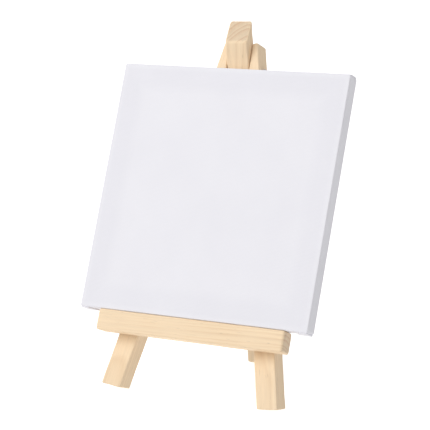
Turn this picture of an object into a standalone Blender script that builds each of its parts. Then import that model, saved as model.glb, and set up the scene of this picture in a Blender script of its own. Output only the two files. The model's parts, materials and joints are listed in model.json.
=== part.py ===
"""A small tabletop easel of raw pine with a square stretched canvas standing on its ledge.

Two splayed front legs lean back, a rear leg hinged between their tops props them up, and a
crossbar on the legs' front is the ledge that the canvas stands on. Units are metres, +Z is up,
the easel faces -Y, and the origin is on the table under the middle of the whole object.
"""

import math

import bmesh
import bpy
from mathutils import Matrix, Vector

MM = 0.001

# Stance
LEAN = math.radians(23.27)  # the front legs and the canvas, back from upright
SPLAY = math.radians(12.63)  # each front leg, out from the legs' centre line
TURN = math.radians(1.42)  # the centre line against the ledge's upright, as it was nailed
OPEN_ANGLE = math.radians(27.3)  # the rear leg, back from the front legs' plane
FRAME_Y = -33.32 * MM  # brings the whole object's middle over the origin

# Front legs
LEG_WIDTH = 8.6 * MM
LEG_DEPTH = 7.85 * MM
LEG_TOP = 144.65 * MM  # along a leg, from the feet's level to the square-cut top
FOOT_SPREAD = 39.05 * MM  # from the centre line to a front leg's outer corner at the foot
LEGS_X = 0.56 * MM
FOOT_RISE = {-1: 1.32 * MM, 1: -1.4 * MM}  # where a leg's middle line ends, above the feet's level
FOOT_ACROSS = {-1: math.radians(4.9), 1: math.radians(-8.5)}  # a foot's cut, off square
FOOT_BACK = {-1: math.radians(4.0), 1: math.radians(11.0)}  # a foot's cut, up to the back
FOOT_WASTE = 5.0 * MM
WOOD_ROUND = 0.45 * MM
ROUND_STEPS = 2

# Rear leg
REAR_WIDTH = 9.8 * MM
REAR_DEPTH = 6.0 * MM
REAR_SLANT_LOW = 12.8 * MM  # above the pin, where the slanted top meets the front face
REAR_SLANT_RISE = 7.8 * MM
REAR_STOCK = 140.0 * MM  # from the pin down, before the foot is cut
SIDE_GAP = 0.25 * MM  # between the rear leg and each front leg

# Hinge pin
PIN_V = 130.75 * MM  # up the legs' centre line from the feet
PIN_RADIUS = 1.0 * MM
PIN_PLAY = 0.08 * MM
PIN_HEAD_RADIUS = 1.5 * MM
PIN_HEAD_DEPTH = 0.6 * MM
PIN_HEAD_IN = 10.4 * MM  # from the centre line to the inner side of a head
PIN_HOLE_HALF = 20.0 * MM  # half the length of the tool that bores the pin's hole
TURNED_SIDES = 32

# Ledge
LEDGE_LENGTH = 82.0 * MM
LEDGE_FRONT = 7.2 * MM  # in front of the legs' front plane
LEDGE_LOW = 20.9 * MM  # up the lean from the feet
LEDGE_HEIGHT = 8.2 * MM
TOUCH_GAP = 0.25 * MM

# Brads that hold the ledge
BRAD_RADIUS = 0.6 * MM
BRAD_PLAY = 0.1 * MM
BRAD_LENGTH = 12.0 * MM
BRAD_HEAD_RADIUS = 1.1 * MM
BRAD_HEAD_DEPTH = 0.5 * MM
BRAD_POINT = 1.2 * MM
BRAD_SIDES = 24

# Canvas
CANVAS_SIDE = 100.0 * MM
CANVAS_DEPTH = 6.3 * MM
CANVAS_BACK_GAP = 0.6 * MM  # from the turned-over cloth to the legs, room for the staples
CLOTH = 0.4 * MM
CLOTH_FLAP = 6.0 * MM  # cloth turned over the back
CLOTH_GAP = 0.15 * MM
BAR_WIDTH = 10.0 * MM
BAR_RIM = 2.5 * MM  # flat outer rim of a bar's front, before it slopes away from the cloth
BAR_SLOPE = 1.0 * MM
BAR_ROUND = 0.25 * MM
MITRE_GAP = 0.2 * MM

# Staples
STAPLE_CROWN = 5.0 * MM
STAPLE_LEG = 2.6 * MM
STAPLE_WIRE = 0.6 * MM
STAPLE_THICK = 0.35 * MM
STAPLE_PLAY = 0.1 * MM
SLOT_ABOVE = 0.5 * MM  # how far a slot's tool stands out of the cloth
STAPLES_A_SIDE = 3
STAPLE_SPREAD = 30.0 * MM
STAPLE_SHIFT = 5.0 * MM  # keeps the staples beside the front legs, not over them
SIDES = ("top", "left", "bottom", "right")
CORNERS = ("top_left", "bottom_left", "bottom_right", "top_right")

PINE = (0.89, 0.68, 0.46)
PINE_PALE = (0.91, 0.72, 0.50)
STEEL = (0.62, 0.62, 0.62)
PRIMED_CLOTH = (0.86, 0.86, 0.88)


# Scene, collections, materials

def clear_scene():
    for obj in list(bpy.data.objects):
        bpy.data.objects.remove(obj, do_unlink=True)


def new_collection(name):
    collection = bpy.data.collections.new(name)
    bpy.context.scene.collection.children.link(collection)
    return collection


def new_material(name, colour, roughness, metallic):
    material = bpy.data.materials.new(name)
    material.use_nodes = True
    shader = material.node_tree.nodes["Principled BSDF"]
    shader.inputs["Base Color"].default_value = (*colour, 1.0)
    shader.inputs["Roughness"].default_value = roughness
    shader.inputs["Metallic"].default_value = metallic
    return material


def new_empty(name, parent, location, rotation):
    empty = bpy.data.objects.new(name, None)
    empty.empty_display_size = BAR_WIDTH
    empty.parent = parent
    empty.location = location
    empty.rotation_euler = rotation
    PARTS.objects.link(empty)
    return empty


def new_piece(name, bm, parent, matrix, colour, roughness, metallic):
    """A named part from a bmesh, placed in its parent's frame by location and rotation."""
    mesh = bpy.data.meshes.new(name)
    bmesh.ops.recalc_face_normals(bm, faces=bm.faces)
    bm.to_mesh(mesh)
    bm.free()
    obj = bpy.data.objects.new(name, mesh)
    mesh.materials.append(new_material(name + "_material", colour, roughness, metallic))
    obj.parent = parent
    obj.location = matrix.to_translation()
    obj.rotation_euler = matrix.to_euler()
    PARTS.objects.link(obj)
    return obj


def new_cutter(name, bm, parent, matrix):
    mesh = bpy.data.meshes.new(name)
    bmesh.ops.recalc_face_normals(bm, faces=bm.faces)
    bm.to_mesh(mesh)
    bm.free()
    obj = bpy.data.objects.new(name, mesh)
    obj.parent = parent
    obj.location = matrix.to_translation()
    obj.rotation_euler = matrix.to_euler()
    obj.display_type = "WIRE"
    obj.hide_render = True
    CUTTERS.objects.link(obj)
    return obj


# Shapes

def box(low, high):
    """A bmesh box between two corners."""
    bm = bmesh.new()
    size = Vector(high) - Vector(low)
    middle = (Vector(high) + Vector(low)) / 2
    bmesh.ops.create_cube(bm, size=1.0)
    bmesh.ops.scale(bm, vec=size, verts=bm.verts)
    bmesh.ops.translate(bm, vec=middle, verts=bm.verts)
    return bm


def rod(radius, low, high, sides):
    """A bmesh cylinder along Z between two heights."""
    bm = bmesh.new()
    place = Matrix.Translation((0, 0, (low + high) / 2))
    bmesh.ops.create_cone(
        bm, cap_ends=True, segments=sides, radius1=radius, radius2=radius, depth=high - low,
        matrix=place,
    )
    return bm


def trim(bm, point, normal):
    """Takes off what lies on the normal's side of a plane, and closes the cut."""
    geometry = bm.verts[:] + bm.edges[:] + bm.faces[:]
    bmesh.ops.bisect_plane(
        bm, geom=geometry, dist=1e-7, plane_co=point, plane_no=normal, clear_outer=True
    )
    bmesh.ops.holes_fill(bm, edges=[edge for edge in bm.edges if edge.is_boundary])


def round_edges(obj, width):
    bevel = obj.modifiers.new("round", "BEVEL")
    bevel.width = width
    bevel.segments = ROUND_STEPS
    bevel.limit_method = "ANGLE"
    bevel.angle_limit = math.radians(30)


def cut(obj, cutter):
    boolean = obj.modifiers.new("cut_" + cutter.name, "BOOLEAN")
    boolean.operation = "DIFFERENCE"
    boolean.solver = "EXACT"
    boolean.object = cutter


def turned(name, profile, sides, parent, matrix, colour):
    """A turned steel piece: a profile of (radius, height) from the top down, round its own Z."""
    bm = bmesh.new()
    verts = [bm.verts.new((radius, 0, height)) for radius, height in profile]
    for above, below in zip(verts, verts[1:]):
        bm.edges.new((above, below))
    obj = new_piece(name, bm, parent, matrix, colour, 0.35, 1.0)
    screw = obj.modifiers.new("turn", "SCREW")
    screw.axis = "Z"
    screw.steps = sides
    screw.render_steps = sides
    screw.use_merge_vertices = True
    screw.merge_threshold = 1e-6
    return obj


def lowest(*objects):
    """The lowest point of the finished objects."""
    bpy.context.view_layer.update()
    graph = bpy.context.evaluated_depsgraph_get()
    heights = []
    for obj in objects:
        finished = obj.evaluated_get(graph)
        mesh = finished.to_mesh()
        heights += [(finished.matrix_world @ vertex.co).z for vertex in mesh.vertices]
        finished.to_mesh_clear()
    return min(heights)


# Easel

def front_leg(name, side):
    """A strip along its own Z: the foot's cut a little off square, the inner top cut upright."""
    bm = box((-LEG_WIDTH / 2, 0, -FOOT_WASTE), (LEG_WIDTH / 2, LEG_DEPTH, LEG_TOP))
    foot_x = side * (FOOT_SPREAD - LEG_WIDTH / (2 * math.cos(SPLAY)))
    place = Matrix.Translation((foot_x, 0, 0)) @ Matrix.Rotation(-side * SPLAY, 4, "Y")
    inner = Vector((side * (REAR_WIDTH / 2 + SIDE_GAP), 0, PIN_V))
    to_leg = place.inverted()
    trim(bm, to_leg @ inner, to_leg.to_3x3() @ Vector((-side, 0, 0)))
    below = Vector((math.tan(FOOT_ACROSS[side]), math.tan(FOOT_BACK[side]), -1))
    trim(bm, Vector((0, 0, FOOT_RISE[side])), below)
    leg = new_piece(name, bm, LEGS, place, PINE, 0.6, 0.0)
    round_edges(leg, WOOD_ROUND)
    cut(leg, PIN_HOLE)
    return leg


def rear_leg():
    """The straight prop, with its origin on the pin, its top slanted and its foot on the table."""
    half = Vector((REAR_WIDTH / 2, REAR_DEPTH / 2))
    top = REAR_SLANT_LOW + REAR_SLANT_RISE
    bm = box((-half.x, -half.y, -REAR_STOCK), (half.x, half.y, top))
    slant = Vector((0, -REAR_SLANT_RISE, REAR_DEPTH))
    trim(bm, Vector((0, -half.y, REAR_SLANT_LOW)), slant)
    to_leg = HINGE.matrix_world.inverted()
    trim(bm, to_leg.translation, to_leg.to_3x3() @ Vector((0, 0, -1)))
    leg = new_piece("rear_leg", bm, HINGE, Matrix.Identity(4), PINE_PALE, 0.6, 0.0)
    round_edges(leg, WOOD_ROUND)
    cut(leg, PIN_HOLE)
    return leg


def hinge_pin():
    """A steel rod across the three legs, both ends spread into low round heads."""
    end = PIN_HEAD_IN + PIN_HEAD_DEPTH
    steps = 4
    dome = [
        (PIN_HEAD_RADIUS * math.sin(turn), PIN_HEAD_IN + PIN_HEAD_DEPTH * math.cos(turn))
        for turn in (math.pi / 2 * step / steps for step in range(steps + 1))
    ]
    half = dome + [(PIN_RADIUS, PIN_HEAD_IN)]
    profile = half + [(radius, -height) for radius, height in reversed(half)]
    profile[0] = (0.0, end)
    profile[-1] = (0.0, -end)
    place = Matrix.Rotation(math.pi / 2, 4, "Y")
    return turned("hinge_pin", profile, TURNED_SIDES, PIN, place, STEEL)


def canvas_ledge():
    """The crossbar that the canvas stands on, on the front of both front legs."""
    half = LEDGE_LENGTH / 2
    low = (-half, -LEDGE_FRONT, LEDGE_LOW)
    bm = box(low, (half, -TOUCH_GAP, LEDGE_LOW + LEDGE_HEIGHT))
    ledge = new_piece("canvas_ledge", bm, FRONT, Matrix.Identity(4), PINE_PALE, 0.6, 0.0)
    round_edges(ledge, WOOD_ROUND)
    return ledge


def ledge_brad(side_name, side, leg, ledge):
    """A brad driven from behind through a front leg into the ledge, square to their faces."""
    middle_v = LEDGE_LOW + LEDGE_HEIGHT / 2
    in_legs = side * (FOOT_SPREAD - LEG_WIDTH / (2 * math.cos(SPLAY)) - middle_v * math.tan(SPLAY))
    x = LEGS_X + in_legs * math.cos(TURN) - middle_v * math.sin(TURN)
    head = LEG_DEPTH + TOUCH_GAP
    place = Matrix.Translation((x, head, middle_v)) @ Matrix.Rotation(-math.pi / 2, 4, "X")
    profile = [
        (0.0, BRAD_HEAD_DEPTH),
        (BRAD_HEAD_RADIUS, BRAD_HEAD_DEPTH),
        (BRAD_HEAD_RADIUS, 0.0),
        (BRAD_RADIUS, 0.0),
        (BRAD_RADIUS, BRAD_POINT - BRAD_LENGTH),
        (0.0, -BRAD_LENGTH),
    ]
    brad = turned("ledge_brad_" + side_name, profile, BRAD_SIDES, FRONT, place, STEEL)
    hole = rod(BRAD_RADIUS + BRAD_PLAY, -BRAD_LENGTH - TOUCH_GAP, TOUCH_GAP, BRAD_SIDES)
    cutter = new_cutter("brad_hole_" + side_name, hole, FRONT, place)
    cut(leg, cutter)
    cut(ledge, cutter)
    return brad


# Canvas: each piece stands in the canvas' own frame, x right, y back from the painted face, z up

def stretcher_bar(name, turn):
    """A bar with mitred ends: its outer edge up, its front sloping away behind a narrow rim."""
    outer = CANVAS_SIDE / 2 - CLOTH - CLOTH_GAP
    inner = outer - BAR_WIDTH
    front = CLOTH + CLOTH_GAP
    back = CANVAS_DEPTH - CLOTH - CLOTH_GAP
    bm = box((-outer, front, inner), (outer, back, outer))
    trim(bm, Vector((0, front, outer - BAR_RIM)), Vector((0, BAR_RIM - BAR_WIDTH, -BAR_SLOPE)))
    for side in (-1, 1):
        trim(bm, Vector((-side * MITRE_GAP * math.sqrt(0.5), 0, 0)), Vector((side, 0, -1)))
    place = Matrix.Rotation(turn, 4, "Y")
    bar = new_piece(name, bm, CANVAS, place, PINE_PALE, 0.65, 0.0)
    round_edges(bar, BAR_ROUND)
    return bar


def canvas_cloth():
    """The primed cloth as one shell: the front, four sides, and flaps turned over the back."""
    half = CANVAS_SIDE / 2
    bm = box((-half, 0, -half), (half, CANVAS_DEPTH, half))
    cloth = new_piece("canvas_cloth", bm, CANVAS, Matrix.Identity(4), PRIMED_CLOTH, 0.85, 0.0)
    room = half - CLOTH
    hollow = box((-room, CLOTH, -room), (room, CANVAS_DEPTH - CLOTH, room))
    cut(cloth, new_cutter("cloth_room", hollow, CANVAS, Matrix.Identity(4)))
    mouth = half - CLOTH_FLAP
    opening = box((-mouth, CANVAS_DEPTH / 2, -mouth), (mouth, CANVAS_DEPTH + SLOT_ABOVE, mouth))
    cut(cloth, new_cutter("cloth_mouth", opening, CANVAS, Matrix.Identity(4)))
    return cloth


def staple(name, place, seat, cut_pieces):
    """A wire staple: its crown along x on the seat, two legs into slots in the pieces below."""
    half = STAPLE_CROWN / 2
    bm = box((-half, 0, -STAPLE_WIRE / 2), (half, STAPLE_THICK, STAPLE_WIRE / 2))
    for side in (-1, 1):
        geometry = bm.verts[:] + bm.edges[:] + bm.faces[:]
        inner = (side * (half - STAPLE_THICK), 0, 0)
        bmesh.ops.bisect_plane(bm, geom=geometry, plane_co=inner, plane_no=(1, 0, 0))
    bm.normal_update()
    ends = [
        face
        for face in bm.faces
        if face.normal.y < -0.9 and abs(face.calc_center_median().x) > half - STAPLE_THICK
    ]
    grown = bmesh.ops.extrude_discrete_faces(bm, faces=ends)["faces"]
    for face in grown:
        bmesh.ops.translate(bm, vec=(0, -STAPLE_LEG, 0), verts=face.verts)
    spot = Matrix.Translation((0, seat + STAPLE_PLAY, 0)) @ place
    new_piece(name, bm, CANVAS, spot, STEEL, 0.4, 1.0)
    wide = STAPLE_THICK / 2 + STAPLE_PLAY
    tall = STAPLE_WIRE / 2 + STAPLE_PLAY
    for side in (-1, 1):
        x = side * (STAPLE_CROWN - STAPLE_THICK) / 2
        slot = box((x - wide, -STAPLE_LEG - STAPLE_PLAY, -tall), (x + wide, SLOT_ABOVE, tall))
        cutter = new_cutter(name + "_slot", slot, CANVAS, spot)
        for piece in cut_pieces:
            cut(piece, cutter)


def stretched_canvas():
    cloth = canvas_cloth()
    bars = {
        side: stretcher_bar("stretcher_bar_" + side, -turn * math.pi / 2)
        for turn, side in enumerate(SIDES)
    }
    flap_middle = CANVAS_SIDE / 2 - CLOTH_FLAP / 2
    bar_back = CANVAS_DEPTH - CLOTH - CLOTH_GAP
    bare_middle = CANVAS_SIDE / 2 - (CLOTH_FLAP + CLOTH + CLOTH_GAP + BAR_WIDTH) / 2
    at_corner = Matrix.Translation((-bare_middle, 0, bare_middle))
    corner_spot = at_corner @ Matrix.Rotation(-math.pi / 4, 4, "Y")
    for turn, side in enumerate(SIDES):
        spin = Matrix.Rotation(-turn * math.pi / 2, 4, "Y")
        for number in range(STAPLES_A_SIDE):
            along = (number - 1) * STAPLE_SPREAD + STAPLE_SHIFT
            spot = spin @ Matrix.Translation((along, 0, flap_middle))
            name = f"canvas_staple_{side}_{number + 1}"
            staple(name, spot, CANVAS_DEPTH, (cloth, bars[side]))
        corner_bars = (bars[side], bars[SIDES[(turn + 1) % 4]])
        staple("mitre_staple_" + CORNERS[turn], spin @ corner_spot, bar_back, corner_bars)


clear_scene()
PARTS = new_collection("tabletop_easel")
CUTTERS = new_collection("cutters")

FRONT = new_empty("front_frame", None, (0, FRAME_Y, 0), (-LEAN, 0, 0))
LEGS = new_empty("legs_centre", FRONT, (LEGS_X, 0, 0), (0, -TURN, 0))
PIN = new_empty("pin_axis", LEGS, (0, LEG_DEPTH / 2, PIN_V), (0, 0, 0))
HINGE = new_empty("rear_leg_hinge", PIN, (0, 0, 0), (OPEN_ANGLE, 0, 0))
canvas_y = -CANVAS_BACK_GAP - CANVAS_DEPTH
canvas_z = LEDGE_LOW + LEDGE_HEIGHT + TOUCH_GAP + CANVAS_SIDE / 2
CANVAS = new_empty("canvas_middle", FRONT, (0, canvas_y, canvas_z), (0, 0, 0))

pin_hole = rod(PIN_RADIUS + PIN_PLAY, -PIN_HOLE_HALF, PIN_HOLE_HALF, TURNED_SIDES)
PIN_HOLE = new_cutter("pin_hole", pin_hole, PIN, Matrix.Rotation(math.pi / 2, 4, "Y"))

left_leg = front_leg("front_leg_left", -1)
right_leg = front_leg("front_leg_right", 1)
FRONT.location.z = -lowest(left_leg, right_leg)
bpy.context.view_layer.update()
rear_leg()
hinge_pin()
the_ledge = canvas_ledge()
ledge_brad("left", -1, left_leg, the_ledge)
ledge_brad("right", 1, right_leg, the_ledge)
stretched_canvas()
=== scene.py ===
import json
import math

import bpy
import numpy as np
from bpy.props import FloatProperty, FloatVectorProperty, IntProperty, PointerProperty
from bpy.types import Operator, Panel, PropertyGroup
from mathutils import Matrix, Vector


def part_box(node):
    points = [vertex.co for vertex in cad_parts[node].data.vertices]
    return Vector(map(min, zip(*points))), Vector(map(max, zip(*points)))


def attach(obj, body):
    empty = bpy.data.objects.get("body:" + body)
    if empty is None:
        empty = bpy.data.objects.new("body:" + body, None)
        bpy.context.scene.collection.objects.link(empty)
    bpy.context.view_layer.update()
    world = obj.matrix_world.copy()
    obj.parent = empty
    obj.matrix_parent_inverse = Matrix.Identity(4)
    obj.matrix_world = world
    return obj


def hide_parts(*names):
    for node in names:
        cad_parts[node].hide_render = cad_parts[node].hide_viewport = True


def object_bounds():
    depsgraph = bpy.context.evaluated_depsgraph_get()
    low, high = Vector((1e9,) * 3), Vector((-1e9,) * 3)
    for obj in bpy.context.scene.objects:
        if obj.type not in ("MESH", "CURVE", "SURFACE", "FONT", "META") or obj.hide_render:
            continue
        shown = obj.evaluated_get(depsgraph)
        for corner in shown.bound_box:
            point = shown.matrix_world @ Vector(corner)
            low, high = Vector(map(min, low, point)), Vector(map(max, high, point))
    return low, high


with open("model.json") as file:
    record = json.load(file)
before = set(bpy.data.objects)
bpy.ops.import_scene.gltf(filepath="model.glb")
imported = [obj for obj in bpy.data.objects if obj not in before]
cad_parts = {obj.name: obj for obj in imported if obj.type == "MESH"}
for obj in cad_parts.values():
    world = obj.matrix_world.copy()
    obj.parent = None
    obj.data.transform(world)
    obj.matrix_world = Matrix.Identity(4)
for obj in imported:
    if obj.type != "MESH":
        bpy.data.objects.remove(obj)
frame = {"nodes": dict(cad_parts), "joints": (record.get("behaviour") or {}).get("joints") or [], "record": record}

bl_info = {
    "name": "Tabletop easel",
    "version": (1, 0, 0),
    "blender": (4, 5, 0),
    "location": "View3D > Sidebar > Easel",
    "description": "A small folding easel of raw pine with a primed canvas on its ledge",
    "category": "Add Mesh",
}

MM = 0.001
CAD_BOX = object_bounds()
CAD_MATERIALS = {material.name for material in bpy.data.materials}
# The studio's light: the floor's own glow, and the world below, at and above the horizon
FLOOR_GLOW = 0.7
UNDER = 1.5
BOUNCE = 0.44
HORIZON = 1.0
CEILING = 0.58
KEY_WATTS = 42.2
KEY_SIZE = 1.53
KEY_PLACE = (-1.275, -1.87, 1.906)
# The camera: azimuth, elevation and roll in degrees, its place, and its lens on a 36 mm sensor
CAMERA_TURNS = (29.118, 11.431, -1.087)
CAMERA_PLACE = (0.349189, -0.633637, 0.213876)
CAMERA_LENS = 157.46
FLOOR_REACH = 12.0
# How far a hand-finished strip strays, and over what length: its edges' radius (as a share of
# it), its faces' slow swell and fine ripple, and its cut ends
EDGE_STRAY, EDGE_WAVE = 0.35, 9 * MM
SWELL, SWELL_WAVE = 0.035 * MM, 22 * MM
RIPPLE, RIPPLE_WAVE = 0.012 * MM, 5 * MM
END_STRAY, END_WAVE = 0.03 * MM, 3 * MM
# The pith's distance from a strip, in millimetres, and how far the trunk leans away along it
PITH_REACH = (16, 34)
TRUNK_LEAN = 0.03
# Roughness of the easel's sanded strips and of the bars as sawn
SANDED, SAWN = 0.62, 0.72
BAR_EDGE, BAR_END_EDGE = 0.3 * MM, 0.25 * MM
# The face sinks this much inside the bars' rims
FACE_HOLLOW = 0.22 * MM
# Each piece's own seed
LEG_SEED, REAR_SEED, LEDGE_SEED, BAR_SEED = 31, 47, 53, 61
CLOTH_SEED, FLAP_SEED, LAP_SEED = 71, 72, 91
SIDES = ("top", "left", "bottom", "right")
CORNERS = ("top_left", "bottom_left", "bottom_right", "top_right")


# Frames: where each group of pieces stands, from the record's mounts and joints

def named(rows, name):
    """The row of a record's list that has this name."""
    return next(row for row in rows if row["name"] == name)


def leaning_frames(sizes):
    """The canvas', the front legs' and the rear leg's own frames.

    The painted face leans back by the angle of its outward axis; the legs' frame turns about that
    axis so that its x lies along the hinge pin; the rear leg opens about the pin to its limit.
    """
    face = named(frame["record"]["mounts"], "canvas_face")
    hinge = named(frame["joints"], "rear_leg_fold")
    lean = Matrix.Rotation(-math.asin(face["axis"][2]), 4, "X")
    canvas = Matrix.Translation(face["pos_m"]) @ lean
    along_pin = lean.inverted().to_3x3() @ Vector(hinge["axis"])
    turn = Matrix.Rotation(-math.atan2(along_pin.z, along_pin.x), 4, "Y")
    pin = Matrix.Translation(hinge["pos_m"]) @ lean @ turn
    front = canvas @ Matrix.Translation(
        (0, sizes.canvas_gap + sizes.canvas_depth, -sizes.ledge_top - sizes.canvas_side / 2)
    )
    legs = pin @ Matrix.Translation((0, -sizes.leg_depth / 2, -sizes.pin_height))
    opening = Matrix.Rotation(math.radians(-hinge["range_deg"][0]), 4, "X")
    return {"canvas": canvas, "front": front, "legs": legs, "pin": pin, "rear": pin @ opening}


# Surfaces

def wander(points, size, seed):
    """Soft unevenness from -1 to 1: the mean of sines that run in seeded directions through space,
    with wavelengths round the given size."""
    rng = np.random.default_rng(seed)
    waves = 7
    heading = rng.normal(size=(waves, 3))
    heading /= np.linalg.norm(heading, axis=1, keepdims=True)
    pitch = 2 * math.pi / (size * rng.uniform(0.6, 1.6, waves))
    phase = rng.uniform(0, 2 * math.pi, waves)
    flat = np.asarray(points, float).reshape(-1, 3)
    total = np.sin(flat @ (heading * pitch[:, None]).T + phase).sum(axis=1)
    gain = 1.6  # the mean of several sines seldom comes near 1
    return (total / waves * gain).reshape(np.asarray(points).shape[:-1])


def outline_weights(corners, corner_steps, side_marks):
    """Weights that draw an anticlockwise outline with rounded corners at any inset.

    A point is V - (r + e) * M + r * D for a corner radius r and an inset e. V runs along the sharp
    outline, M is the corner's move as its two sides step in by one unit, and D is the outward
    direction, which turns through each corner and is the side's own normal between them.
    """
    corners = np.asarray(corners, float)
    side = np.roll(corners, -1, axis=0) - corners
    side /= np.linalg.norm(side, axis=1, keepdims=True)
    after = np.stack([side[:, 1], -side[:, 0]], axis=1)
    before = np.roll(after, 1, axis=0)
    meet = np.sum(before * after, axis=1, keepdims=True)
    mitre = (before + after) / (1 + meet)
    start = np.arctan2(before[:, 1], before[:, 0])[:, None]
    angle = start + np.arccos(meet) * np.linspace(0, 1, corner_steps + 1)
    turning = np.stack([np.cos(angle), np.sin(angle)], axis=2)
    marks = np.asarray(side_marks, float)[None, :, None]

    def corner_then_side(value):
        held = np.repeat(value[:, None], corner_steps + 1, axis=1)
        run = value[:, None] + (np.roll(value, -1, axis=0) - value)[:, None] * marks
        return np.concatenate([held, run], axis=1).reshape(-1, 2)

    straight = np.repeat(after[:, None], len(side_marks), axis=1)
    outward = np.concatenate([turning, straight], axis=1).reshape(-1, 2)
    return corner_then_side(corners), corner_then_side(mitre), outward


def placed(points, place):
    """Points carried by a 4x4 placement."""
    turn = np.array(place.to_3x3())
    return np.asarray(points) @ turn.T + np.array(place.translation)


def surface_mesh(name, rings, poles=(None, None), flip=False):
    """A mesh from a grid of points, ring by ring, each ring closed on itself.

    Quads join each ring to the next, and a pole closes the first or last ring with a fan. Where
    the rings climb anticlockwise about +Z the faces point outwards; flip turns them round.
    """
    count, around = rings.shape[:2]
    points = [rings.reshape(-1, 3)]
    here = np.arange(around)
    there = (here + 1) % around
    row = np.arange(count - 1)[:, None] * around
    quads = np.stack([row + here, row + there, row + around + there, row + around + here], axis=2)
    fans = []
    total = count * around
    for pole, base, first in ((poles[0], 0, True), (poles[1], (count - 1) * around, False)):
        if pole is None:
            continue
        points.append(np.asarray(pole, float)[None])
        tip = np.full(around, total)
        total += 1
        pair = (base + there, base + here) if first else (base + here, base + there)
        fans.append(np.stack([pair[0], pair[1], tip], axis=1))
    faces = quads.reshape(-1, 4).tolist() + [face for fan in fans for face in fan.tolist()]
    if flip:
        faces = [face[::-1] for face in faces]
    mesh = bpy.data.meshes.new(name)
    mesh.from_pydata(np.concatenate(points), [], faces)
    mesh.shade_smooth()
    mesh.update()
    return mesh


def store(mesh, name, kind, values):
    """Puts an array into the mesh as a point attribute that a material reads."""
    attribute = mesh.attributes.new(name, kind, "POINT")
    field = "value" if kind == "FLOAT" else "vector"
    attribute.data.foreach_set(field, np.ascontiguousarray(values, np.float32).ravel())


def add_piece(mesh, material, body, nodes):
    """Shows a mesh as a piece that rides on a body and stands for CAD nodes."""
    piece = bpy.data.objects.new(mesh.name, mesh)
    bpy.context.scene.collection.objects.link(piece)
    mesh.materials.append(material)
    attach(piece, body)
    if nodes:
        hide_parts(*nodes)
    return piece


def check_place(piece, nodes, slack=0.9 * MM):
    """Raises unless the piece's box is the CAD nodes' box, but for a little rounding."""
    points = np.array([piece.matrix_world @ vertex.co for vertex in piece.data.vertices])
    boxes = [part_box(node) for node in nodes]
    low = np.min([np.array(box[0]) for box in boxes], axis=0)
    high = np.max([np.array(box[1]) for box in boxes], axis=0)
    miss = max(np.abs(points.min(axis=0) - low).max(), np.abs(points.max(axis=0) - high).max())
    if miss > slack:
        raise RuntimeError(f"{piece.name} misses {nodes} by {miss / MM:.2f} mm")


# Materials

def from_hex(code):
    """Linear colour of an sRGB hex code."""
    parts = [int(code[i:i + 2], 16) / 255 for i in (1, 3, 5)]
    return tuple(c / 12.92 if c <= 0.04045 else ((c + 0.055) / 1.055) ** 2.4 for c in parts)


def add_node(tree, kind, inputs=None, out=None, stops=None, **settings):
    """Adds a shader node and returns its output, the first one unless out names another.

    Settings are the node's own values, inputs are values or other nodes' outputs, and stops are a
    ramp's (place, grey) pairs.
    """
    node = tree.nodes.new("ShaderNode" + kind)
    for key, value in settings.items():
        setattr(node, key, value)
    for key, value in (inputs or {}).items():
        if isinstance(value, bpy.types.NodeSocket):
            tree.links.new(value, node.inputs[key])
        else:
            node.inputs[key].default_value = value
    if stops:
        ramp = node.color_ramp.elements
        while len(ramp) < len(stops):
            ramp.new(0.5)
        for mark, (place, grey) in zip(ramp, stops):
            mark.position = place
            mark.color = (grey, grey, grey, 1)
    return node.outputs[out] if out else next(each for each in node.outputs if each.enabled)


def finish_shader(name, **values):
    """The named material and, when it is new, its shader with these values on its sockets.

    A name that the CAD's own materials already hold raises, so that none of them passes for ours.
    """
    if name in CAD_MATERIALS:
        raise RuntimeError(f"the CAD already has a material called {name}")
    material = bpy.data.materials.get(name)
    if material:
        return material, None
    material = bpy.data.materials.new(name)
    material.use_nodes = True
    shader = material.node_tree.nodes["Principled BSDF"]
    for key, value in values.items():
        shader.inputs[key.replace("_", " ")].default_value = value
    return material, shader


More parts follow.
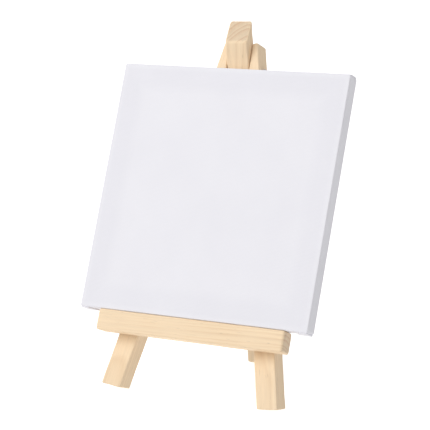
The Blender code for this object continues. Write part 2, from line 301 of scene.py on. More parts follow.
def planed_pine(name, pale, late, end, end_late, ring_width, rough):
    """Raw pine, planed and sanded: pale early wood, faint darker late-wood lines that run with the
    strip and fade in and out, short resin flecks, fine fibres that catch the light, and a slightly
    pinker, ringed end grain. It is matt, with no varnish.

    It reads the strip's own coordinates, which each piece stores with the pith off to one side:
    rings are distance from the pith, fibres run along z.
    """
    material, shader = finish_shader(name, IOR=1.5, Specular_IOR_Level=0.3)
    if shader is None:
        return material
    tree = material.node_tree
    grain = add_node(tree, "Attribute", out="Vector", attribute_name="grain")
    cut = add_node(tree, "Attribute", out="Fac", attribute_name="end_grain")
    in_mm = add_node(tree, "VectorMath", {0: grain, "Scale": 1 / MM}, operation="SCALE")
    across = add_node(tree, "VectorMath", {0: in_mm, 1: (1.0, 1.0, 0.0)}, operation="MULTIPLY")
    radius = add_node(tree, "VectorMath", {0: across}, out="Value", operation="LENGTH")
    # the trunk's slow waves: 12 mm across the strip, 60 mm along it, 3.2 mm deep
    slow = add_node(
        tree, "VectorMath", {0: in_mm, 1: (1 / 12, 1 / 12, 1 / 60)}, operation="MULTIPLY"
    )
    sway = add_node(tree, "TexNoise", {"Vector": slow, "Scale": 1.0, "Detail": 2.0}, out="Fac")
    swayed = add_node(tree, "Math", {0: sway, 1: 3.2, 2: radius}, operation="MULTIPLY_ADD")
    years = add_node(tree, "Math", {0: swayed, 1: ring_width / MM}, operation="DIVIDE")
    weather = add_node(
        tree, "TexNoise", {"W": years, "Scale": 0.42, "Detail": 1.0}, out="Fac",
        noise_dimensions="1D",
    )
    uneven = add_node(tree, "Math", {0: weather, 1: 1.5, 2: years}, operation="MULTIPLY_ADD")
    season = add_node(tree, "Math", {0: uneven}, operation="FRACT")
    ring = add_node(
        tree, "ValToRGB", {"Fac": season},
        stops=[(0.0, 0.1), (0.4, 0.16), (0.72, 0.5), (0.86, 1.0), (0.94, 0.6), (1.0, 0.1)],
    )
    # fibres drawn 0.25 mm wide and 10 mm long, coarser than real ones, so that they show
    thin = add_node(tree, "VectorMath", {0: in_mm, 1: (4.0, 4.0, 0.1)}, operation="MULTIPLY")
    fibre = add_node(
        tree, "TexNoise", {"Vector": thin, "Scale": 1.0, "Detail": 3.0, "Roughness": 0.6}, out="Fac"
    )
    # broader soft streaks, 1.2 mm wide and 40 mm long
    broad = add_node(tree, "VectorMath", {0: in_mm, 1: (0.8, 0.8, 0.025)}, operation="MULTIPLY")
    streak = add_node(tree, "TexNoise", {"Vector": broad, "Scale": 1.0, "Detail": 2.0}, out="Fac")
    # resin flecks, 0.35 mm wide and 3 mm long, few
    small = add_node(tree, "VectorMath", {0: in_mm, 1: (2.8, 2.8, 0.33)}, operation="MULTIPLY")
    resin = add_node(tree, "TexNoise", {"Vector": small, "Scale": 0.8, "Detail": 1.0}, out="Fac")
    fleck = add_node(tree, "MapRange", {"Value": resin, "From Min": 0.68, "From Max": 0.78})
    # where the lines show and where they fade: clouds of 25 mm
    cloud = add_node(tree, "TexNoise", {"Vector": in_mm, "Scale": 0.04, "Detail": 2.0}, out="Fac")
    shown = add_node(
        tree, "MapRange",
        {"Value": cloud, "From Min": 0.35, "From Max": 0.68, "To Min": 0.1, "To Max": 0.5},
    )
    drawn = add_node(tree, "Math", {0: ring, 1: shown}, operation="MULTIPLY")
    lines = add_node(
        tree, "Mix", {"Factor": drawn, "A": (*pale, 1), "B": (*late, 1)}, data_type="RGBA"
    )
    rings = add_node(
        tree, "Mix", {"Factor": ring, "A": (*end, 1), "B": (*end_late, 1)}, data_type="RGBA"
    )
    wood = add_node(tree, "Mix", {"Factor": cut, "A": lines, "B": rings}, data_type="RGBA")
    fine = add_node(
        tree, "MapRange",
        {"Value": fibre, "From Min": 0.25, "From Max": 0.75, "To Min": 0.955, "To Max": 1.035},
    )
    wide = add_node(
        tree, "MapRange",
        {"Value": streak, "From Min": 0.3, "From Max": 0.7, "To Min": 0.965, "To Max": 1.03},
    )
    tone = add_node(tree, "Math", {0: fine, 1: wide}, operation="MULTIPLY")
    flecked = add_node(tree, "Math", {0: fleck, 1: -0.16, 2: tone}, operation="MULTIPLY_ADD")
    colour_out = add_node(tree, "VectorMath", {0: wood, "Scale": flecked}, operation="SCALE")
    matt = add_node(
        tree, "MapRange", {"Value": fibre, "To Min": rough - 0.1, "To Max": rough + 0.1}
    )
    relief = add_node(tree, "Math", {0: ring, 1: 0.3, 2: fibre}, operation="MULTIPLY_ADD")
    normal = add_node(tree, "Bump", {"Height": relief, "Strength": 0.45, "Distance": 0.05 * MM})
    tree.links.new(colour_out, shader.inputs["Base Color"])
    tree.links.new(matt, shader.inputs["Roughness"])
    tree.links.new(normal, shader.inputs["Normal"])
    return material


def primed_cotton(finish):
    """Plain-woven cotton under two coats of white acrylic primer: matt, the weave's crossings still felt as small
    bumps with painted shade in the hollows between them, a few thicker threads, slow clouds where the primer lies
    thicker, and a slightly duller tone where a bar backs the cloth, painted shade for the light that the bar stops
    coming through the cloth."""
    material, shader = finish_shader("gessoed_cotton", Specular_IOR_Level=0.25)
    if shader is None:
        return material
    tree = material.node_tree
    thread = add_node(tree, "Attribute", out="Vector", attribute_name="thread")
    backed = add_node(tree, "Attribute", out="Fac", attribute_name="backed")
    radians = math.pi / finish.thread_pitch
    counted = add_node(tree, "VectorMath", {0: thread, "Scale": radians}, operation="SCALE")
    # threads stray sideways by a tenth of their pitch, over some 4 mm
    stray = add_node(
        tree, "TexNoise", {"Vector": thread, "Scale": 260.0, "Detail": 2.0}, out="Color"
    )
    strayed = add_node(
        tree, "VectorMath", {0: stray, 1: (1.3, 1.3, 0.0), 2: counted}, operation="MULTIPLY_ADD"
    )
    wave = add_node(tree, "VectorMath", {0: strayed}, operation="SINE")
    warp = add_node(tree, "SeparateXYZ", {"Vector": wave}, out="X")
    crossing = add_node(tree, "Math", {0: warp, 1: warp.node.outputs["Y"]}, operation="MULTIPLY")
    weave = add_node(tree, "Math", {0: crossing}, operation="ABSOLUTE")
    # thick threads: 0.55 mm wide, 11 mm long
    along = add_node(tree, "VectorMath", {0: thread, 1: (1800.0, 90.0, 0.0)}, operation="MULTIPLY")
    thick = add_node(tree, "TexNoise", {"Vector": along, "Scale": 1.0, "Detail": 1.0}, out="Fac")
    cloud = add_node(tree, "TexNoise", {"Vector": thread, "Scale": 45.0, "Detail": 3.0}, out="Fac")
    # the mix towards the darker primer colour: the primer's own clouds, and painted shade where a bar backs the
    # cloth
    thin = add_node(tree, "Math", {0: backed, 1: 0.45, 2: cloud}, operation="MULTIPLY_ADD")
    primer = add_node(
        tree, "Mix", {"Factor": thin, "A": (*finish.primer, 1), "B": (*finish.thin_primer_and_bar_shade, 1)},
        data_type="RGBA",
    )
    # painted shade: the weave's hollows a little darker, its crossings a touch lighter
    hollow_shade = add_node(tree, "MapRange", {"Value": weave, "To Min": 0.965, "To Max": 1.01})
    shade = add_node(tree, "VectorMath", {0: primer, "Scale": hollow_shade}, operation="SCALE")
    matt = add_node(tree, "MapRange", {"Value": cloud, "To Min": 0.68, "To Max": 0.86})
    relief = add_node(tree, "Math", {0: thick, 1: 0.45, 2: weave}, operation="MULTIPLY_ADD")
    normal = add_node(tree, "Bump", {"Height": relief, "Strength": 0.4, "Distance": 0.05 * MM})
    tree.links.new(shade, shader.inputs["Base Color"])
    tree.links.new(matt, shader.inputs["Roughness"])
    tree.links.new(normal, shader.inputs["Normal"])
    return material


def drawn_steel(finish):
    """Galvanised steel wire, drawn through a die and pressed: a dull grey-white sheen with fine
    lengthwise scratches and a mottled zinc tone."""
    material, shader = finish_shader("drawn_steel", Metallic=1.0)
    if shader is None:
        return material
    tree = material.node_tree
    place = add_node(tree, "TexCoord", out="Object")
    # zinc spangle 0.8 mm, scratches 0.1 mm
    spangle = add_node(
        tree, "TexNoise", {"Vector": place, "Scale": 1250.0, "Detail": 2.0}, out="Fac"
    )
    drawn = add_node(
        tree, "VectorMath", {0: place, 1: (600.0, 9000.0, 9000.0)}, operation="MULTIPLY"
    )
    scratch = add_node(tree, "TexNoise", {"Vector": drawn, "Scale": 1.0, "Detail": 2.0}, out="Fac")
    zinc = add_node(
        tree, "Mix", {"Factor": spangle, "A": (*finish.steel, 1), "B": (*finish.steel_dull, 1)},
        data_type="RGBA",
    )
    sheen = add_node(tree, "MapRange", {"Value": spangle, "To Min": 0.26, "To Max": 0.46})
    normal = add_node(tree, "Bump", {"Height": scratch, "Strength": 0.3, "Distance": 0.02 * MM})
    tree.links.new(zinc, shader.inputs["Base Color"])
    tree.links.new(sheen, shader.inputs["Roughness"])
    tree.links.new(normal, shader.inputs["Normal"])
    return material


def easel_pine(finish):
    """The easel's own strips: close-grained, sanded smooth."""
    return planed_pine(
        "planed_pine", finish.pine, finish.pine_late, finish.pine_end, finish.pine_end_late,
        finish.ring_width, SANDED,
    )


def bar_pine(finish):
    """The stretcher bars: faster-grown and left rougher."""
    return planed_pine(
        "sawn_pine", finish.bar_pine, finish.bar_late, finish.pine_end, finish.pine_end_late,
        finish.ring_width * 1.3, SAWN,
    )


# Pieces

def wood_strip(name, outline, length, ends, place, seed, edge, end_edge, slope=None, breaks=()):
    """A strip of wood as one closed surface of two parameters, round the section and along it.

    Rings of the rounded outline climb from the lower end's pole over its flat cut, round its edge,
    along the strip and over the upper end. A ring at height h stands between the two end cuts,
    planes in x and y, in the proportion h to the length. slope(V, z) may narrow the outline on
    the way. The edges' radius and the faces wander a little, as on hand-finished wood.
    """
    sides = (0.03, 0.17, 0.34, 0.5, 0.66, 0.83, 0.97)
    V, M, D = outline_weights(outline, 4, sides)
    steps = np.linspace(0, math.pi / 2, 5)
    body = np.unique(np.concatenate([
        np.linspace(end_edge, length - end_edge, max(8, int(length / (1.3 * MM)))),
        [end_edge + 0.15 * MM, length - end_edge - 0.15 * MM],
        np.asarray(breaks, float),
    ]))
    cap = np.array([0.25, 0.5, 0.75, 0.97])
    rise = end_edge * (1 - np.cos(steps))
    inset = end_edge * (1 - np.sin(steps))
    along = body[1:-1]
    flush, sunk = np.zeros(len(cap)), np.full(len(cap), end_edge)
    height = np.concatenate([flush, rise, along, length - rise[::-1], flush + length])
    inset = np.concatenate([sunk, inset, np.zeros(len(along)), inset[::-1], sunk])
    size = np.concatenate([cap, np.ones(2 * len(steps) + len(along)), cap[::-1]])
    at = np.concatenate([
        np.broadcast_to(V, (len(height), *V.shape)),
        np.broadcast_to(height[:, None, None], (len(height), len(V), 1)),
    ], axis=2)
    sharp = np.broadcast_to(V, (len(height), *V.shape)).copy()
    if slope:
        sharp = slope(sharp, height[:, None])
    radius = edge * (1 + EDGE_STRAY * wander(at, EDGE_WAVE, seed))[..., None]
    flat = sharp - (radius + inset[:, None, None]) * M + radius * D
    middle = sharp.mean(axis=1, keepdims=True)
    flat = middle + size[:, None, None] * (flat - middle)
    swell = SWELL * wander(at, SWELL_WAVE, seed + 1) + RIPPLE * wander(at, RIPPLE_WAVE, seed + 2)
    flat = flat + D * swell[..., None] * size[:, None, None]
    x, y = flat[..., 0], flat[..., 1]
    low, high = ends[0](x, y), ends[1](x, y)
    z = low + (high - low) * height[:, None] / length
    z = z + END_STRAY * wander(at, END_WAVE, seed + 3) * (inset > 0)[:, None]
    rings = np.stack([x, y, z], axis=2)
    poles = (rings[0].mean(axis=0), rings[-1].mean(axis=0))
    mesh = surface_mesh(name, placed(rings, place), tuple(placed(pole, place) for pole in poles))
    rng = np.random.default_rng(seed + 10)
    own = np.concatenate([rings.reshape(-1, 3), np.array(poles)])
    roll = rng.uniform(0, 2 * math.pi)
    pith = rng.uniform(*PITH_REACH) * MM
    lean = rng.uniform(-TRUNK_LEAN, TRUNK_LEAN, 2)
    grain = np.stack([
        own[:, 0] * math.cos(roll) - own[:, 1] * math.sin(roll) + pith + lean[0] * own[:, 2],
        own[:, 0] * math.sin(roll) + own[:, 1] * math.cos(roll) + lean[1] * own[:, 2],
        own[:, 2] + rng.uniform(0, 3),
    ], axis=1)
    store(mesh, "grain", "FLOAT_VECTOR", grain)
    ended = np.clip((inset / end_edge - 0.35) / 0.5, 0, 1)
    ended = np.concatenate([np.repeat(ended, len(V)), [1.0, 1.0]])
    store(mesh, "end_grain", "FLOAT", ended)
    return mesh


def rectangle(low_x, low_y, high_x, high_y):
    """An anticlockwise rectangle between two corners."""
    return [(low_x, low_y), (high_x, low_y), (high_x, high_y), (low_x, high_y)]


def front_leg(sizes, finish, frames, side):
    """One splayed leg: its foot cut a little off square, its top square, its inner top upright."""
    half = sizes.leg_width / 2
    foot = sizes.foot_spread - half / math.cos(sizes.splay)
    place = frames["legs"] @ Matrix.Translation((side * foot, 0, 0)) @ Matrix.Rotation(
        -side * sizes.splay, 4, "Y"
    )
    inner = sizes.rear_width / 2 + sizes.side_gap
    sine, cosine = math.sin(sizes.splay), math.cos(sizes.splay)
    kink = (foot - half * cosine - inner) / sine

    def upright_cut(V, z):
        limit = np.maximum(-half, (inner - foot + z * sine) / cosine)
        x = limit + (side * V[..., 0] + half) / (2 * half) * (half - limit)
        return np.stack([side * x, V[..., 1]], axis=2)

    rise = sizes.left_foot_rise if side < 0 else sizes.right_foot_rise
    across = sizes.left_foot_across if side < 0 else sizes.right_foot_across
    back = sizes.left_foot_back if side < 0 else sizes.right_foot_back

    def foot_cut(x, y):
        return rise + x * math.tan(across) + y * math.tan(back)

    def square(x, y):
        return np.full_like(x, sizes.leg_length)

    name = "leg_left" if side < 0 else "leg_right"
    node = "front_leg_left" if side < 0 else "front_leg_right"
    mesh = wood_strip(
        name, rectangle(-half, 0, half, sizes.leg_depth), sizes.leg_length, (foot_cut, square),
        place, LEG_SEED + side, sizes.wood_edge, sizes.foot_edge, upright_cut, (kink,)
    )
    piece = add_piece(mesh, easel_pine(finish), "front_frame", [node])
    check_place(piece, [node])
    return piece


def cloth_lap(name, outline, place, thickness, finish):
    """One lap of a folded corner, as a closed surface: rings of the rounded outline climb from a
    pole over a full round edge, as thick as the cloth, to the other pole."""
    V, M, D = outline_weights(outline, 5, np.linspace(0, 1, 12)[1:-1])
    corner = thickness / 2 + 0.15 * MM
    steps = np.linspace(0, math.pi, 9)
    inner = np.array([0.3, 0.6, 0.85])
    none, full = np.zeros(len(inner)), np.ones(len(inner))
    inset = np.concatenate([full, 1 - np.sin(steps), full]) * thickness / 2
    height = np.concatenate([none, 1 - np.cos(steps), 2 * full]) * thickness / 2
    scale = np.concatenate([inner, np.ones(len(steps)), inner[::-1]])[:, None, None]
    flat = V - (corner + inset[:, None, None]) * M + corner * D
    middle = flat.mean(axis=1, keepdims=True)
    flat = middle + scale * (flat - middle)
    rings = np.concatenate(
        [flat, np.broadcast_to(height[:, None, None], (*flat.shape[:2], 1))], axis=2
    )
    upper = (height > thickness / 2)[:, None]
    rings[..., 2] += 0.04 * MM * wander(rings, 2.5 * MM, LAP_SEED) * upper
    poles = (rings[0].mean(axis=0), rings[-1].mean(axis=0))
    mesh = surface_mesh(name, placed(rings, place), tuple(placed(pole, place) for pole in poles))
    own = np.concatenate([rings.reshape(-1, 3), np.array(poles)])
    store(mesh, "thread", "FLOAT_VECTOR", own * (1, 1, 0))
    store(mesh, "backed", "FLOAT", np.zeros(len(own)))
    return add_piece(mesh, primed_cotton(finish), "canvas", [])


def corner_laps(sizes, finish, place):
    """The laps at the four corners: on the top and bottom side, the cloth tucked in twice along a
    45 degree crease, and on the back, the top and bottom flap laid over the others' ends."""
    half, depth, flap = sizes.canvas_side / 2, sizes.canvas_depth, sizes.flap
    rim, last = half - 0.25 * MM, depth - 0.1 * MM
    reach = rim - 1.4 * flap
    fold = [(rim, -rim), (rim - flap, flap - rim), (reach, flap - rim), (reach, -rim)]
    sunk = 0.1 * MM
    laps = []
    # the bottom tucks are the fuller ones, and start nearer the face
    for edge, turn, first, layers in (
        ("top", 0.0, 1.6 * MM, 0.8), ("bottom", math.pi, 0.4 * MM, 1.5)
    ):
        tuck = [(rim, first), (rim, last), (rim - last, last), (rim - 0.55 * last, first)]
        outside = place @ Matrix.Rotation(turn, 4, "Y")
        on_side = outside @ Matrix.Translation((0, 0, half - sunk))
        on_back = outside @ Matrix.Translation((0, depth - sunk, 0)) @ Matrix.Rotation(
            -math.pi / 2, 4, "X"
        )
        for hand in (-1, 1):
            # known fault: at the bottom this names the right laps left and the left ones right
            corner = CORNERS[SIDES.index(edge) // 2 * 2 - (hand * math.cos(turn) > 0)]
            for part, outline, laid, thickness in (
                ("tuck", tuck, on_side, layers * sizes.cloth), ("flap", fold, on_back, sizes.cloth)
            ):
                if hand < 0:
                    outline = [(-x, y) for x, y in reversed(outline)]
                laps.append(cloth_lap(
                    f"{part}_{corner}", outline, laid, thickness + sunk, finish
                ))
    return laps


def size(name, description, millimetres):
    """A length that a user may change, shown in the scene's units."""
    return FloatProperty(
        name=name, description=description, default=millimetres * MM, unit="LENGTH", precision=5
    )


def angle(name, description, degrees):
    """An angle that a user may change."""
    return FloatProperty(
        name=name, description=description, default=math.radians(degrees), subtype="ANGLE"
    )


def colour(name, description, code):
    """A colour that a user may change, given as an sRGB hex code."""
    return FloatVectorProperty(
        name=name, description=description, default=from_hex(code), min=0.0, max=1.0, size=3,
        subtype="COLOR",
    )


class EaselSizes(PropertyGroup):
    """Sizes of the easel's strips and of the canvas."""

    leg_width: size("Leg width", "Front leg, across its front face", 8.6)
    leg_depth: size("Leg depth", "Front leg, front to back", 7.85)
    leg_length: size("Leg length", "Front leg, the feet's level to the square-cut top", 144.65)
    foot_spread: size("Foot spread", "Centre line to a front leg's outer corner at the foot", 39.05)
    splay: angle("Splay", "Front leg, out from the legs' centre line", 12.63)
    left_foot_rise: size("Left foot's rise", "Left leg's middle, above the feet's level", 1.32)
    right_foot_rise: size("Right foot's rise", "Right leg's middle, above the feet's level", -1.4)
    left_foot_across: angle("Left foot across", "The left foot's cut, off square to the leg", 4.9)
    right_foot_across: angle("Right foot across", "The right foot's cut, off square", -8.5)
    left_foot_back: angle("Left foot back", "The left foot's cut, up towards the back", 4.0)
    right_foot_back: angle("Right foot back", "The right foot's cut, up towards the back", 11.0)
    rear_width: size("Rear leg width", "Rear leg, across its front face", 9.8)
    rear_depth: size("Rear leg depth", "Rear leg, front to back", 6.0)
    slant_low: size("Slant's low edge", "Pin to the slanted top's front edge", 12.8)
    slant_rise: size("Slant's rise", "Front edge to back edge of the rear leg's top", 7.8)
    side_gap: size("Side gap", "Rear leg to each front leg", 0.25)
    pin_height: size("Pin height", "Front feet to the hinge pin", 130.75)
    wood_edge: size("Worn edge", "Radius that handling leaves on a long edge", 0.45)
    foot_edge: size("Worn foot", "Radius of a front leg's cut ends", 0.45)
    top_edge: size("Worn top", "Radius of the rear leg's and the ledge's cut ends", 1.0)
    ledge_length: size("Ledge length", "Ledge, end to end", 82.0)
    ledge_front: size("Ledge depth", "Ledge's front to the legs' front", 7.2)
    ledge_low: size("Ledge height", "Front feet to the ledge's underside", 20.9)
    ledge_top: size("Canvas foot", "Front feet to the canvas' lower edge", 29.35)
    touch_gap: size("Touch gap", "Between pieces that rest on each other", 0.25)
    canvas_side: size("Canvas side", "Painted face, each way", 100.0)
    canvas_depth: size("Canvas depth", "Painted face to the turned-over cloth", 6.3)
    canvas_gap: size("Canvas gap", "Turned-over cloth to the legs", 0.6)
    cloth: size("Cloth thickness", "Primed cotton", 0.35)
    flap: size("Flap", "Cloth turned over the back", 6.0)
    bar_width: size("Bar width", "Stretcher bar, outer to inner edge", 10.0)
    bar_rim: size("Bar rim", "Flat rim of a bar's front", 2.5)
    bar_slope: size("Bar slope", "How far a bar's front falls away behind the cloth", 1.0)
    mitre_gap: size("Mitre gap", "Between two bars' mitred ends", 0.2)


class EaselFinish(PropertyGroup):
    """Colours and pattern sizes of the easel's finishes."""

    pine: colour("Pine", "Early wood of the easel's strips", "#F7DEBC")
    pine_late: colour("Pine rings", "Late-wood lines", "#DDB78A")
    pine_end: colour("Pine ends", "End grain", "#E3CEB1")
    pine_end_late: colour("Pine end rings", "Late wood in the end grain", "#D6B594")
    bar_pine: colour("Bar pine", "Early wood of the stretcher bars", "#F0DDBF")
    bar_late: colour("Bar rings", "Late wood of the stretcher bars", "#DDBB8C")
    ring_width: size("Ring width", "One year's growth", 1.5)
    primer: colour("Primer", "Primed cloth", "#F1F0F5")
    # the darker primer colour: where the primer lies thinner, and painted shade where a bar backs the cloth
    thin_primer_and_bar_shade: colour("Thin primer", "Where the primer lies thinner", "#EBEAF0")
    thread_pitch: size("Thread pitch", "Thread to thread, drawn a little coarse to show", 0.5)
    steel: colour("Steel", "Wire, pin and brads", "#C4C6C9")
    steel_dull: colour("Dull steel", "Duller crystals of its zinc", "#AFB1B4")


class EASEL_OT_front_legs(Operator):
    """Makes the two splayed front legs"""

    bl_idname = "easel.front_legs"
    bl_label = "Front legs"

    def execute(self, context):
        sizes, finish = context.scene.easel_sizes, context.scene.easel_finish
        for side in (-1, 1):
            front_leg(sizes, finish, leaning_frames(sizes), side)
        return {"FINISHED"}


class EASEL_OT_rear_leg(Operator):
    """Makes the straight rear leg with its slanted top"""

    bl_idname = "easel.rear_leg"
    bl_label = "Rear leg"

    def execute(self, context):
        sizes, finish = context.scene.easel_sizes, context.scene.easel_finish
        place = leaning_frames(sizes)["rear"]
        half_x, half_y = sizes.rear_width / 2, sizes.rear_depth / 2
        up = place.to_3x3().transposed() @ Vector((0, 0, 1))

        def level(x, y):
            return (-place.translation.z - x * up.x - y * up.y) / up.z

        def slanted(x, y):
            return sizes.slant_low + (y + half_y) * sizes.slant_rise / sizes.rear_depth

        length = sizes.slant_low + sizes.slant_rise / 2 - float(level(0.0, 0.0))
        outline = rectangle(-half_x, -half_y, half_x, half_y)
        mesh = wood_strip(
            "prop_leg", outline, length, (level, slanted), place, REAR_SEED,
            1.8 * sizes.wood_edge, 0.7 * sizes.top_edge
        )
        piece = add_piece(mesh, easel_pine(finish), "rear_leg", ["rear_leg"])
        check_place(piece, ["rear_leg"])
        return {"FINISHED"}


class EASEL_OT_ledge(Operator):
    """Makes the crossbar that the canvas stands on"""

    bl_idname = "easel.ledge"
    bl_label = "Ledge"

    def execute(self, context):
        sizes, finish = context.scene.easel_sizes, context.scene.easel_finish
        top = sizes.ledge_top - sizes.touch_gap / 2
        place = leaning_frames(sizes)["front"] @ Matrix.Translation(
            (-sizes.ledge_length / 2, 0, 0)
        ) @ Matrix(((0, 0, 1, 0), (0, 1, 0, 0), (-1, 0, 0, 0), (0, 0, 0, 1)))
        outline = rectangle(-top, -sizes.ledge_front, -sizes.ledge_low, -sizes.touch_gap)

        def near(x, y):
            return np.zeros_like(x)

        def far(x, y):
            return np.full_like(x, sizes.ledge_length)

        mesh = wood_strip(
            "ledge", outline, sizes.ledge_length, (near, far), place, LEDGE_SEED,
            sizes.wood_edge, sizes.top_edge
        )
        piece = add_piece(mesh, easel_pine(finish), "front_frame", ["canvas_ledge"])
        check_place(piece, ["canvas_ledge"])
        return {"FINISHED"}


class EASEL_OT_stretcher_bars(Operator):
    """Makes the four mitred bars that the cloth is stretched over"""

    bl_idname = "easel.stretcher_bars"
    bl_label = "Stretcher bars"

    def execute(self, context):
        sizes, finish = context.scene.easel_sizes, context.scene.easel_finish
        cloth = 0.55 * MM
        outer = sizes.canvas_side / 2 - cloth
        inner = outer - sizes.bar_width
        front, back = cloth, sizes.canvas_depth - cloth
        # the bar lies along its frame's z, its section in x (towards the canvas' edge) and y (back)
        outline = [
            (outer, front), (outer, back), (inner, back), (inner, front + sizes.bar_slope),
            (outer - sizes.bar_rim, front),
        ]
        lay = Matrix(((0, 0, -1, 0), (0, 1, 0, 0), (1, 0, 0, 0), (0, 0, 0, 1)))
        gap = sizes.mitre_gap * math.sqrt(0.5)
        canvas = leaning_frames(sizes)["canvas"]
        for number, side in enumerate(SIDES):
            place = canvas @ Matrix.Rotation(-number * math.pi / 2, 4, "Y") @ lay
            mesh = wood_strip(
                "bar_" + side, outline, 2 * outer,
                (lambda x, y: gap - x, lambda x, y: x - gap), place, BAR_SEED + number,
                BAR_EDGE, BAR_END_EDGE
            )
            node = "stretcher_bar_" + side
            piece = add_piece(mesh, bar_pine(finish), "canvas", [node])
            check_place(piece, [node])
        return {"FINISHED"}


class EASEL_OT_cloth(Operator):
    """Makes the primed cloth: the face, four sides, flaps over the back and folded corners"""

    bl_idname = "easel.cloth"
    bl_label = "Canvas cloth"

    def execute(self, context):
        sizes, finish = context.scene.easel_sizes, context.scene.easel_finish
        half, depth = sizes.canvas_side / 2, sizes.canvas_depth
        turn = 0.4 * MM
        marks = np.linspace(0, 1, 62)[1:-1]
        square = [(-half, -half), (half, -half), (half, half), (-half, half)]
        V, M, D = outline_weights(square, 5, marks)
        quarter = np.linspace(0, math.pi / 2, 6)
        # the face's rings, closer together towards its edge
        face = np.array([
            0.04, 0.12, 0.22, 0.32, 0.42, 0.52, 0.62, 0.7, 0.77, 0.82, 0.86, 0.9, 0.935, 0.96,
            0.98, 0.992,
        ])
        level = np.zeros(len(face))
        wall = np.linspace(turn, depth - turn, 8)[1:-1]
        over = np.linspace(turn, sizes.flap, 9)[1:]
        inset = np.concatenate([
            level + turn, turn * (1 - np.sin(quarter)), np.zeros(len(wall)),
            turn * (1 - np.cos(quarter)), over,
        ])
        back = np.concatenate([
            level, turn * (1 - np.cos(quarter)), wall,
            depth - turn + turn * np.sin(quarter), np.full(len(over), depth),
        ])
        scale = np.concatenate([face, np.ones(len(inset) - len(face))])
        run = np.concatenate([
            level, turn * quarter, turn * quarter[-1] + wall - turn,
            turn * quarter[-1] + depth - 2 * turn + turn * quarter,
            turn * math.pi + depth - 2 * turn + over - turn,
        ])
        # the folded corners grow rounder towards the back
        corner = (0.5 * MM + 0.6 * MM * np.clip(back / depth, 0, 1))[:, None, None]
        flat = V - (corner + inset[:, None, None]) * M + corner * D
        flat = flat * scale[:, None, None]
        x, z = flat[..., 0], flat[..., 1]
        # the face: drawn tight over the rims, a touch lower inside them
        reach = np.maximum(np.abs(x), np.abs(z)) / half
        inside = np.clip((0.95 - reach) / 0.2, 0, 1)
        hollow = FACE_HOLLOW * inside ** 2 * (3 - 2 * inside)
        on_face = (back < 0.5 * turn)[:, None]
        where = np.stack([x, np.broadcast_to(back[:, None], x.shape), z], axis=2)
        soft = 0.03 * MM * wander(where, 14 * MM, CLOTH_SEED)
        y = back[:, None] + np.where(on_face, hollow, 0.0) + soft
        flapping = np.clip((back[:, None] - depth + 0.2 * MM) / (0.2 * MM), 0, 1)
        frame_y = y + flapping * 0.05 * MM * wander(where, 4 * MM, FLAP_SEED)
        rings = np.stack([x, frame_y, z], axis=2)
        place = leaning_frames(sizes)["canvas"]
        pole = rings[0].mean(axis=0)
        mesh = surface_mesh(
            "canvas_cloth_sheet", placed(rings, place), (placed(pole, place), None), flip=True
        )
        edge = V - (corner[0] + turn) * M + corner[0] * D
        thread = np.where(scale[:, None, None] < 1, flat, edge + run[:, None, None] * D)
        thread = np.concatenate([thread, np.zeros((*thread.shape[:2], 1))], axis=2)
        thread = np.concatenate([thread.reshape(-1, 3), [[0, 0, 0]]])
        store(mesh, "thread", "FLOAT_VECTOR", thread)
        # where a bar backs the cloth: the mask for the painted shade over the bars in the cloth's colour
        inward = half - np.maximum(np.abs(x), np.abs(z))
        over_bar = np.clip((sizes.bar_width - inward) / (1.2 * MM), 0, 1)
        over_bar *= np.clip((inward - 1.2 * MM) / (0.8 * MM), 0, 1)
        store(mesh, "backed", "FLOAT", np.append(over_bar.ravel(), 0.0))
        piece = add_piece(mesh, primed_cotton(finish), "canvas", ["canvas_cloth"])
        thick = piece.modifiers.new("cloth_thickness", "SOLIDIFY")
        thick.thickness = sizes.cloth
        thick.offset = -1.0
        check_place(piece, ["canvas_cloth"])
        laps = corner_laps(sizes, finish, place)
        return {"FINISHED"}


class EASEL_OT_steel(Operator):
    """Gives the hinge pin, brads and staples their drawn-steel finish"""

    bl_idname = "easel.steel"
    bl_label = "Steel parts"

    def execute(self, context):
        finish = context.scene.easel_finish
        steel = drawn_steel(finish)
        for name, node in frame["nodes"].items():
            if "staple" in name or "brad" in name or name == "hinge_pin":
                node.data.materials.clear()
                node.data.materials.append(steel)
        return {"FINISHED"}


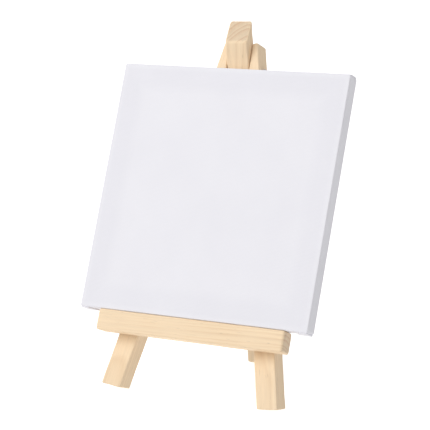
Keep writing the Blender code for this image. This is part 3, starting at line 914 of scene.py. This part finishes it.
class EASEL_OT_stage(Operator):
    """Makes the pale floor, the soft light and the camera"""

    bl_idname = "easel.stage"
    bl_label = "Stage"

    def execute(self, context):
        scene = context.scene
        floor_mesh = bpy.data.meshes.new("floor")
        reach = FLOOR_REACH
        floor_mesh.from_pydata(
            [(-reach, -reach, 0), (reach, -reach, 0), (reach, reach, 0), (-reach, reach, 0)],
            [], [(0, 1, 2, 3)]
        )
        floor = bpy.data.objects.new("floor", floor_mesh)
        scene.collection.objects.link(floor)
        pale, _ = finish_shader(
            "pale_floor", Base_Color=(0.8, 0.8, 0.8, 1), Roughness=1.0, Specular_IOR_Level=0.0,
            Emission_Color=(1, 1, 1, 1), Emission_Strength=FLOOR_GLOW,
        )
        floor_mesh.materials.append(pale)
        # the floor's bounce is the world's lower half, so that it can be kept soft
        floor.visible_diffuse = False

        world = bpy.data.worlds.new("studio")
        scene.world = world
        world.use_nodes = True
        tree = world.node_tree
        way = add_node(tree, "TexCoord", out="Generated")
        up = add_node(tree, "SeparateXYZ", {"Vector": way}, out="Z")
        # brightness by height: the floor's bounce below, a white horizon, and the ceiling
        under = add_node(
            tree, "MapRange",
            {"Value": up, "From Min": -0.8, "From Max": -0.45, "To Min": UNDER, "To Max": BOUNCE}
        )
        low = add_node(
            tree, "MapRange",
            {"Value": up, "From Min": -0.12, "From Max": -0.03, "To Min": under, "To Max": HORIZON}
        )
        glow = add_node(
            tree, "MapRange",
            {"Value": up, "From Min": 0.1, "From Max": 0.2, "To Min": low, "To Max": CEILING}
        )
        tree.links.new(glow, tree.nodes["Background"].inputs["Strength"])
        tree.nodes["Background"].inputs["Color"].default_value = (1, 1, 1, 1)

        softbox = bpy.data.lights.new("key_light", "AREA")
        softbox.energy = KEY_WATTS
        softbox.size = KEY_SIZE
        key = bpy.data.objects.new("key_light", softbox)
        scene.collection.objects.link(key)
        key.location = KEY_PLACE
        middle = (Vector(CAD_BOX[0]) + Vector(CAD_BOX[1])) / 2
        key.rotation_euler = (middle - key.location).to_track_quat("-Z", "Y").to_euler()

        azimuth, elevation, roll = (math.radians(a) for a in CAMERA_TURNS)
        location = Vector(CAMERA_PLACE)
        right = Vector((math.cos(azimuth), math.sin(azimuth), 0))
        behind = Vector((
            math.sin(azimuth) * math.cos(elevation), -math.cos(azimuth) * math.cos(elevation),
            math.sin(elevation),
        ))
        above = behind.cross(right)
        rolled = right * math.cos(roll) + above * math.sin(roll)
        raised = above * math.cos(roll) - right * math.sin(roll)
        lens = bpy.data.cameras.new("studio_camera")
        lens.sensor_width = 36.0
        lens.lens = CAMERA_LENS
        camera = bpy.data.objects.new("studio_camera", lens)
        scene.collection.objects.link(camera)
        camera.matrix_world = Matrix.Translation(location) @ Matrix(
            (rolled, raised, behind)
        ).transposed().to_4x4()
        lens.clip_start = 0.01
        lens.clip_end = 100.0
        scene.camera = camera
        scene.view_settings.view_transform = "Standard"
        return {"FINISHED"}


class EASEL_PT_panel(Panel):
    """Lists the operators that make the easel"""

    bl_idname = "EASEL_PT_panel"
    bl_label = "Tabletop easel"
    bl_space_type = "VIEW_3D"
    bl_region_type = "UI"
    bl_category = "Easel"

    def draw(self, context):
        for maker in MAKERS:
            self.layout.operator(maker.bl_idname)


MAKERS = (
    EASEL_OT_front_legs,
    EASEL_OT_rear_leg,
    EASEL_OT_ledge,
    EASEL_OT_stretcher_bars,
    EASEL_OT_cloth,
    EASEL_OT_steel,
    EASEL_OT_stage,
)
CLASSES = (EaselSizes, EaselFinish, *MAKERS, EASEL_PT_panel)


def register():
    for each in CLASSES:
        bpy.utils.register_class(each)
    bpy.types.Scene.easel_sizes = PointerProperty(type=EaselSizes)
    bpy.types.Scene.easel_finish = PointerProperty(type=EaselFinish)


def unregister():
    del bpy.types.Scene.easel_finish
    del bpy.types.Scene.easel_sizes
    for each in reversed(CLASSES):
        bpy.utils.unregister_class(each)


def main():
    """Makes every piece and the stage."""
    register()
    for maker in MAKERS:
        group, name = maker.bl_idname.split(".")
        getattr(getattr(bpy.ops, group), name)()
    bpy.context.view_layer.update()


if __name__ == "__main__":
    main()
